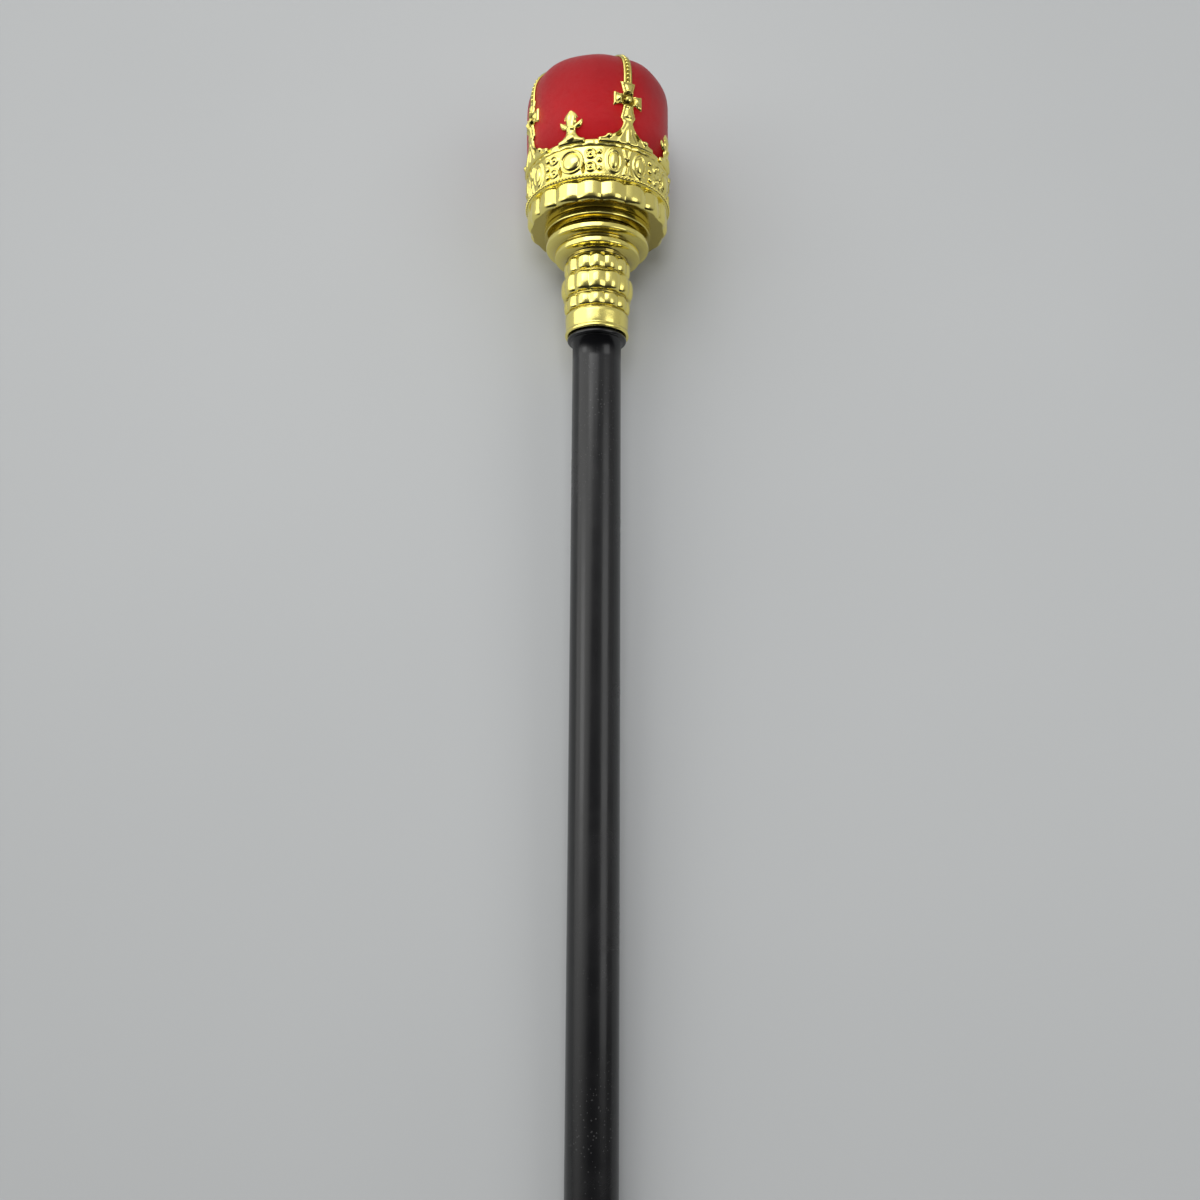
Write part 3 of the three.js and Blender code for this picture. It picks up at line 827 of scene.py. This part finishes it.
def lily_outline():
    height, half = LILY["height"], LILY["half"]
    waist = half * 0.4
    return outline(
        (LILY["foot"], -POINT_ROOT),
        [(LILY["foot"], 0)],
        [(waist, height * 0.05), (waist, height * 0.34)],
        [(half * 1.1, height * 0.36), (half, height * 0.66)],
        [(half * 0.7, height * 0.6), (half * 0.52, height * 0.54)],
        [(half * 0.85, height * 0.8), (0, height)],
    )


def arch_outline():
    start = CROSS["centre"] + CROSS["rise"] - CROSS["end"]
    end = skin_length - POINT_ROOT - 3
    half = [[ARCH_HALF * (1 - 0.25 * share), start + share * (end - start)]
            for share in np.linspace(0, 1, 12)]
    return outline(half[0], *[[place] for place in half[1:]])


def band_relief(azimuth, height):
    """How far the band's ornament stands out, and the shade painted into its grooves and slots: a
    pair of ovals under each cross, a round jewel between two slots under each lily, and scrolls
    between."""
    up = height - band_middle
    nearest = np.round((azimuth - CROSS_AZIMUTH) / point_spacing)
    across = (azimuth - CROSS_AZIMUTH - nearest * point_spacing) * band_radius
    half_way = point_spacing / 2 * band_radius
    from_lily = half_way - np.abs(across)
    out = np.zeros_like(across)
    painted_shade = np.zeros_like(across)
    from_oval = np.abs(across) - CROSS_JEWEL["apart"] * band_radius
    for x, jewel in ((from_oval, CROSS_JEWEL), (from_lily, LILY_JEWEL)):
        width, tall, rise = jewel["width"], jewel["height"], jewel["rise"]
        share = np.hypot(x / width, up / tall)
        edge = (1 - share) * width
        setting = ridge(edge - 0.5, 0.42)
        groove = ridge(edge - 1.3, 0.3)
        inner = np.hypot(x / (width - 1.4), up / (tall - 1.4))
        out = np.maximum(out, round_dome(inner, 1.0, rise))
        out += 0.85 * setting - 0.35 * groove
        painted_shade = np.maximum(painted_shade, 0.4 * groove)
    for rise in (-3.1, 3.1):
        scroll = np.hypot(from_lily - 8.7, up - rise)
        line = ridge(scroll - 1.9, 0.42)
        eye = round_dome(scroll, 0.9, 0.9)
        out = np.maximum(out, np.maximum(0.85 * line, eye))
        painted_shade = np.maximum(painted_shade, ridge(scroll - 1.25, 0.25) * 0.3)
    leaf = ridge(np.abs(across) - 0.28 * np.abs(up), 0.6) * step_up(np.abs(up), 0.8, 2.2)
    out = np.maximum(out, 0.8 * leaf)
    slot = 1 - step_up(np.hypot(across / 0.75, up / 1.9), 0.5, 1.0)
    beside_lily = np.hypot((np.abs(from_lily) - 5.5) / 0.8, (up + 3.4) / 3.2)
    slot = np.maximum(slot, 1 - step_up(beside_lily, 0.6, 1.0))
    out -= 0.8 * slot
    ends = step_up(np.abs(up), BAND["height"] / 2 - 0.9, BAND["height"] / 2 - 0.1)
    return out * (1 - ends), np.maximum(painted_shade, slot) * (1 - ends)


def cup_profile():
    """The cup's profile, and how many of its rows are on the outside."""
    floor_hole = neck_spigot_radius + FIT_GAP
    floor_top = lobes_bottom + CUP_FLOOR
    inner = cup_bore - CUP_LEDGE
    ring = CUP_RADIUS + FOOT_RING["out"]
    lobe = CUP_RADIUS + FOOT_LOBES["out"]
    outside = straight([floor_hole, cup_bottom], [ring - 1.6, cup_bottom], 4)
    outside += nose(ring, cup_bottom, lobes_bottom - 0.2, 0.8, 14, 5)
    recess = [ring - 0.9, lobes_bottom]
    tuck = lobe - FOOT_TUCK["depth"]
    outside += [recess] + straight(recess, [tuck - 0.4, lobes_bottom], 6)
    for turn in np.linspace(0, math.pi / 2, 11):
        outside.append([tuck + FOOT_TUCK["depth"] * math.sin(turn) ** 0.9,
                        lobes_bottom + FOOT_TUCK["height"] * (1 - math.cos(turn) ** 0.9)])
    outside += straight(outside[-1], [lobe, lobes_top - 2], 10)
    for turn in np.linspace(0, math.pi / 2, 7)[1:]:
        outside.append([lobe - 1.4 * (1 - math.cos(turn)), lobes_top - 2 + 2 * math.sin(turn)])
    fillet = nose(CUP_RADIUS + FILLET["out"], lobes_top, band_bottom, 0.7, 6)
    band = straight([CUP_RADIUS, band_bottom], [CUP_RADIUS + BAND["flare"], rim_bottom], 40)
    outside += fillet + band
    outside += nose(rim_radius, rim_bottom, rim_top, 1.5, 14)
    profile = [[floor_hole, cup_bottom]] + outside
    inside = [[cup_bore, rim_top], [cup_bore, cap_seat], [inner, cap_seat], [inner, floor_top]]
    inside += [[floor_hole, floor_top], [floor_hole, cup_bottom]]
    return profile + inside, len(profile)


def build_crown():
    profile, outside_rows = cup_profile()
    radius, height = np.array(profile[:-1]).T
    outer = np.arange(len(height)) < outside_rows
    on_band = outer & (height > band_bottom) & (height < rim_bottom)
    on_rim = outer & (height >= rim_bottom)
    on_lobes = outer & (height > lobes_bottom) & (height < lobes_top)
    azimuth = np.arange(CUP_COLUMNS) * 2 * math.pi / CUP_COLUMNS
    turn, tall = np.meshgrid(azimuth, height)
    relief, painted_shade = band_relief(turn, tall)
    gadroon = np.abs(np.cos((turn - FOOT_LOBES["crest"]) * FOOT_LOBES["count"]))
    up_rim = np.clip((tall - rim_bottom) / RIM_BEAD["height"], 0, 1)
    dent = (gadroon - 1) * 0.35 * np.sin(up_rim * math.pi)
    push = relief * on_band[:, None] + dent * on_rim[:, None]
    points, faces = turned(profile, CUP_COLUMNS, push)
    # Painted shade: the cup's underside and the recess above the foot ring get 0.6 of the dark shade
    # colour, and the band keeps its ornament's painted shade.
    recess = (height > lobes_bottom - 0.3) & (height < lobes_bottom + 0.1)
    under = (height < cup_bottom + 0.2) | recess
    painted_shade = np.where(under[:, None], 0.6, painted_shade * on_band[:, None]).ravel()
    lobed = np.repeat(on_lobes, CUP_COLUMNS).astype(float)

    def add(more_points, more_faces, more_painted_shade, azimuth):
        nonlocal points, faces, painted_shade, lobed
        faces = faces + (np.array(more_faces) + len(points)).tolist()
        points = np.vstack([points, over_cap(more_points, azimuth)])
        painted_shade = np.concatenate([painted_shade, more_painted_shade])
        lobed = np.concatenate([lobed, np.zeros(len(more_points))])

    cross = plate(cross_outline(), PLATE_STEP, cross_relief)
    lily = plate(lily_outline(), LILY_STEP, lily_relief)
    arch = plate(arch_outline(), PLATE_STEP, arch_relief)
    for azimuth in cross_azimuths:
        add(*cross, azimuth)
        add(*arch, azimuth)
    for azimuth in lily_azimuths:
        add(*lily, azimuth)
    boss_points, boss_faces = turned(boss_profile(), BOSS_COLUMNS)
    faces = faces + [[i + len(points) for i in face] for face in boss_faces]
    points = np.vstack([points, boss_points])
    painted_shade = np.concatenate([painted_shade, np.zeros(len(boss_points))])
    lobed = np.concatenate([lobed, np.zeros(len(boss_points))])
    made = add_mesh("gold_crown", points, faces)
    mark_turning(made, lobed, painted_shade)
    apply_tree(made, carve_lobes, lobe_count=float(FOOT_LOBES["count"]),
               lobe_depth=FOOT_LOBES["depth"] * MM, crest_azimuth=FOOT_LOBES["crest"], material=gold)
    finish_piece(made, gold, "gold", "crown")


def boss_profile():
    base = cap_top + FIT_GAP
    radius, top, rim = CROWN_BOSS["radius"], base + CROWN_BOSS["height"], CROWN_BOSS["rim"]
    profile = [[0, base], [radius - 0.6, base]] + nose(radius, base, base + rim, 0.9, 8)
    profile += [[radius * 0.78, base + rim + 0.1], [radius * 0.72, base + rim + 0.5]]
    for turn in np.linspace(0.25, math.pi / 2, 9)[:-1]:
        dome_height = (top - base - rim) * math.sin(turn)
        profile.append([radius * 0.72 * math.cos(turn), base + rim + dome_height])
    return profile + [[0, top]]


build_crown()


# Pearls


def build_pearls():
    """Columns of pearls on the band, a string of small ones round its foot, and one along
    the channel of each arch."""
    middle = (PEARL["count"] - 1) / 2
    columns = []
    for azimuth in cross_azimuths:
        for side in (-1, 1):
            for i in range(PEARL["count"]):
                turn = azimuth + side * point_spacing / 4
                tall = band_middle + (i - middle) * PEARL["pitch"]
                columns.append(ring_points(band_radius - 0.5, tall, turn))
    fillet_middle = (lobes_top + band_bottom) / 2
    ring = [ring_points(CUP_RADIUS + FILLET["out"] - 0.1, fillet_middle, turn)
            for turn in np.arange(PEARL_RING_STEPS) * 2 * math.pi / PEARL_RING_STEPS]
    start = CROSS["centre"] + CROSS["rise"] - 2.2
    end = skin_length - POINT_ROOT - CROWN_BOSS["radius"] - 0.8
    arch = np.array([[0, y, ARCH_THICKNESS - 0.45] for y in np.linspace(start, end, 120)])
    arches = [over_cap(arch, azimuth) for azimuth in cross_azimuths]
    add_pearls("gold_band_pearls", columns, [], PEARL["radius"], 0)
    loop = [[i, (i + 1) % len(ring)] for i in range(len(ring))]
    add_pearls("gold_foot_pearls", ring, loop, **FOOT_PEARL)
    starts = [i + k * len(arch) for k in range(len(arches)) for i in range(len(arch) - 1)]
    paths = [[i, i + 1] for i in starts]
    add_pearls("gold_arch_pearls", np.vstack(arches), paths, **ARCH_PEARL)


def add_pearls(name, places, paths, radius, pitch):
    mesh = bpy.data.meshes.new(name)
    mesh.from_pydata(np.asarray(places) * MM, paths, [])
    mesh.transform(SCEPTRE)
    made = bpy.data.objects.new(name, mesh)
    bpy.context.scene.collection.objects.link(made)
    apply_tree(made, pearls, radius=radius * MM, pitch=pitch * MM, along_paths=bool(paths),
               material=gold)
    press_to_floor(made.data)
    finish_piece(made, gold, "gold")


build_pearls()


# Cap


def cap_profile():
    swell = cap_radius - cap_skirt_radius
    bottom = rim_top + FIT_GAP
    inner = cap_skirt_radius - CAP_WALL
    low = cap_seat + FIT_GAP
    profile = [[cap_skirt_radius, low], [cap_skirt_radius, bottom]]
    for share in np.linspace(0, 1, 13)[1:]:
        out = math.sin(share * math.pi / 2) ** 0.8
        profile.append([cap_skirt_radius + swell * out, bottom + CAP_SWELL * share])
    profile += straight(profile[-1], [cap_radius, rim_top + CAP_SHOULDER], 36)
    for turn in np.linspace(0, math.pi / 2, 61)[1:-1]:
        across, up = math.cos(turn) ** (2 / CAP_SQUARENESS), math.sin(turn) ** (2 / CAP_SQUARENESS)
        profile.append([cap_radius * across, rim_top + CAP_SHOULDER + CAP_DOME * up])
    profile.append([0, cap_top])
    return profile, inner, low


def build_cap():
    outside, inner, low = cap_profile()
    inside = [[inner * math.cos(t) ** (2 / CAP_SQUARENESS),
               rim_top + CAP_SHOULDER + (CAP_DOME - CAP_WALL) * math.sin(t) ** (2 / CAP_SQUARENESS)]
              for t in np.linspace(0, math.pi / 2, 11)[1:-1]]
    inside = [[0, cap_top - CAP_WALL]] + inside[::-1]
    inside += [[inner, rim_top + CAP_SHOULDER], [inner, low]]
    profile = inside + outside
    rows = np.array(profile[1:-1])
    azimuth = np.arange(CAP_COLUMNS) * 2 * math.pi / CAP_COLUMNS
    turn, tall = np.meshgrid(azimuth, rows[:, 1])
    radius = np.repeat(rows[:, :1], CAP_COLUMNS, axis=1)
    is_outside = (np.arange(len(rows)) > len(inside))[:, None]
    to_arch = (turn - CROSS_AZIMUTH + point_spacing / 2) % point_spacing - point_spacing / 2
    pinch = ridge(to_arch * radius, 5.0)
    above = step_up(tall, rim_top + 3, rim_top + 10)
    swell = 0.2 * np.sin(5 * turn + 0.07 * tall) + 0.15 * np.sin(9 * turn - 0.11 * tall + 1.3)
    push = CAP_PUFF + swell * (1 - pinch) - CAP_PINCH * pinch
    push *= above * step_up(radius, 2, 12) * is_outside
    points, faces = turned(profile, CAP_COLUMNS, push)
    made = add_mesh("red_cap", points, faces)
    finish_piece(made, flock, "cap", "cap")


build_cap()


# Camera, at the photograph's viewing angle

PHOTO_SIZE = 1200
FOCAL_PX = 1200
CAMERA_ALONG = 170  # the point of the axis below the camera
CAMERA_HEIGHT = 513.3  # above the sceptre's axis
CAMERA_ASIDE = 2.64
CAMERA_TILT = math.radians(10.9)
CAMERA_YAW = math.radians(0.31)


def add_camera():
    data = bpy.data.cameras.new("camera")
    data.sensor_width = 36
    data.lens = data.sensor_width * FOCAL_PX / PHOTO_SIZE
    data.clip_start = 0.01
    right = Vector((math.cos(CAMERA_YAW), math.sin(CAMERA_YAW), 0))
    along = Vector((-math.sin(CAMERA_YAW), math.cos(CAMERA_YAW), 0))
    forward = along * math.sin(CAMERA_TILT) - Vector((0, 0, math.cos(CAMERA_TILT)))
    up = right.cross(forward)
    own = Matrix((right, up, -forward)).transposed().to_4x4()
    own.translation = Vector((CAMERA_ASIDE, CAMERA_ALONG, CAMERA_HEIGHT)) * MM
    camera = bpy.data.objects.new("camera", data)
    camera.matrix_world = SCEPTRE @ own
    bpy.context.scene.collection.objects.link(camera)
    bpy.context.scene.camera = camera


add_camera()


# Floor and light


def add_floor():
    size = 6.0
    corners = [(-size, -size, 0), (size, -size, 0), (size, size, 0), (-size, size, 0)]
    mesh = bpy.data.meshes.new("floor")
    mesh.from_pydata(corners, [], [(0, 1, 2, 3)])
    floor = bpy.data.objects.new("floor", mesh)
    bpy.context.scene.collection.objects.link(floor)
    material, tree, shader = new_material("pale floor")
    clouds = noise(tree, node(tree, "ShaderNodeTexCoord").outputs["Object"], 5.0, 2.0)
    paper = mixed(tree, clouds, colour(0.445, 0.457, 0.461), colour(0.475, 0.487, 0.491))
    tree.links.new(paper, shader.inputs["Base Color"])
    shader.inputs["Roughness"].default_value = 0.7
    mesh.materials.append(material)


def add_softbox(name, place, aim, size, power, in_reflections=True):
    data = bpy.data.lights.new(name, "AREA")
    data.shape = "RECTANGLE"
    data.size, data.size_y = size
    data.energy = power
    light = bpy.data.objects.new(name, data)
    light.location = place
    light.rotation_euler = (Vector(aim) - Vector(place)).to_track_quat("-Z", "Y").to_euler()
    light.visible_glossy = in_reflections
    bpy.context.scene.collection.objects.link(light)


def add_room():
    """A room that is dark behind the shaft's end, dim overhead and dimmer on the right, with
    a wide glow like a window's on the left. Seen directly it is a plain pale grey."""
    world = bpy.data.worlds.new("room")
    world.use_nodes = True
    tree = world.node_tree
    direction = node(tree, "ShaderNodeTexCoord").outputs["Generated"]
    part = node(tree, "ShaderNodeSeparateXYZ", {"Vector": direction})
    rise = ranged(tree, part.outputs["Z"], 0.1, 0.5)
    bright = mixed(tree, rise, colour(0.42, 0.43, 0.45), colour(1.0, 1.0, 1.0))
    aside = ranged(tree, part.outputs["X"], 0.0, 0.5)
    wall = mixed(tree, aside, bright, colour(0.46, 0.46, 0.46))
    top = ranged(tree, part.outputs["Z"], 0.84, 0.98, smooth=True)
    above = mixed(tree, top, wall, colour(0.28, 0.28, 0.29))
    along = ranged(tree, part.outputs["Y"], -0.5, 0.2, smooth=True)
    dim = mixed(tree, along, colour(0.03, 0.03, 0.035), above)
    window = node(
        tree, "ShaderNodeVectorMath",
        {0: direction, 1: (-0.78, 0.50, 0.37)}, operation="DOT_PRODUCT",
    )
    glow = ranged(tree, window.outputs["Value"], 0.55, 0.92, smooth=True)
    lit = mixed(tree, glow, dim, colour(1.65, 1.65, 1.62))
    seen = node(tree, "ShaderNodeLightPath").outputs["Is Camera Ray"]
    light = mixed(tree, seen, lit, colour(0.46, 0.47, 0.47))
    tree.links.new(light, tree.nodes["Background"].inputs["Color"])
    bpy.context.scene.world = world


add_floor()
add_room()
add_softbox("left softbox", (-1.15, 0.08, 0.80), (0, 0.08, 0), (0.5, 0.45), 0.95)
add_softbox("far softbox", (-0.34, 0.78, 1.2), (-0.34, 0.15, 0), (1.0, 0.6), 3.6)
add_softbox("right softbox", (1.15, 0.05, 1.12), (0, 0.05, 0), (1.1, 0.8), 4.0)
add_softbox("front fill", (0, 0.16, 0.85), (0, 0.12, 0), (0.3, 0.3), 2.0, in_reflections=False)
bpy.context.scene.view_settings.view_transform = "Standard"
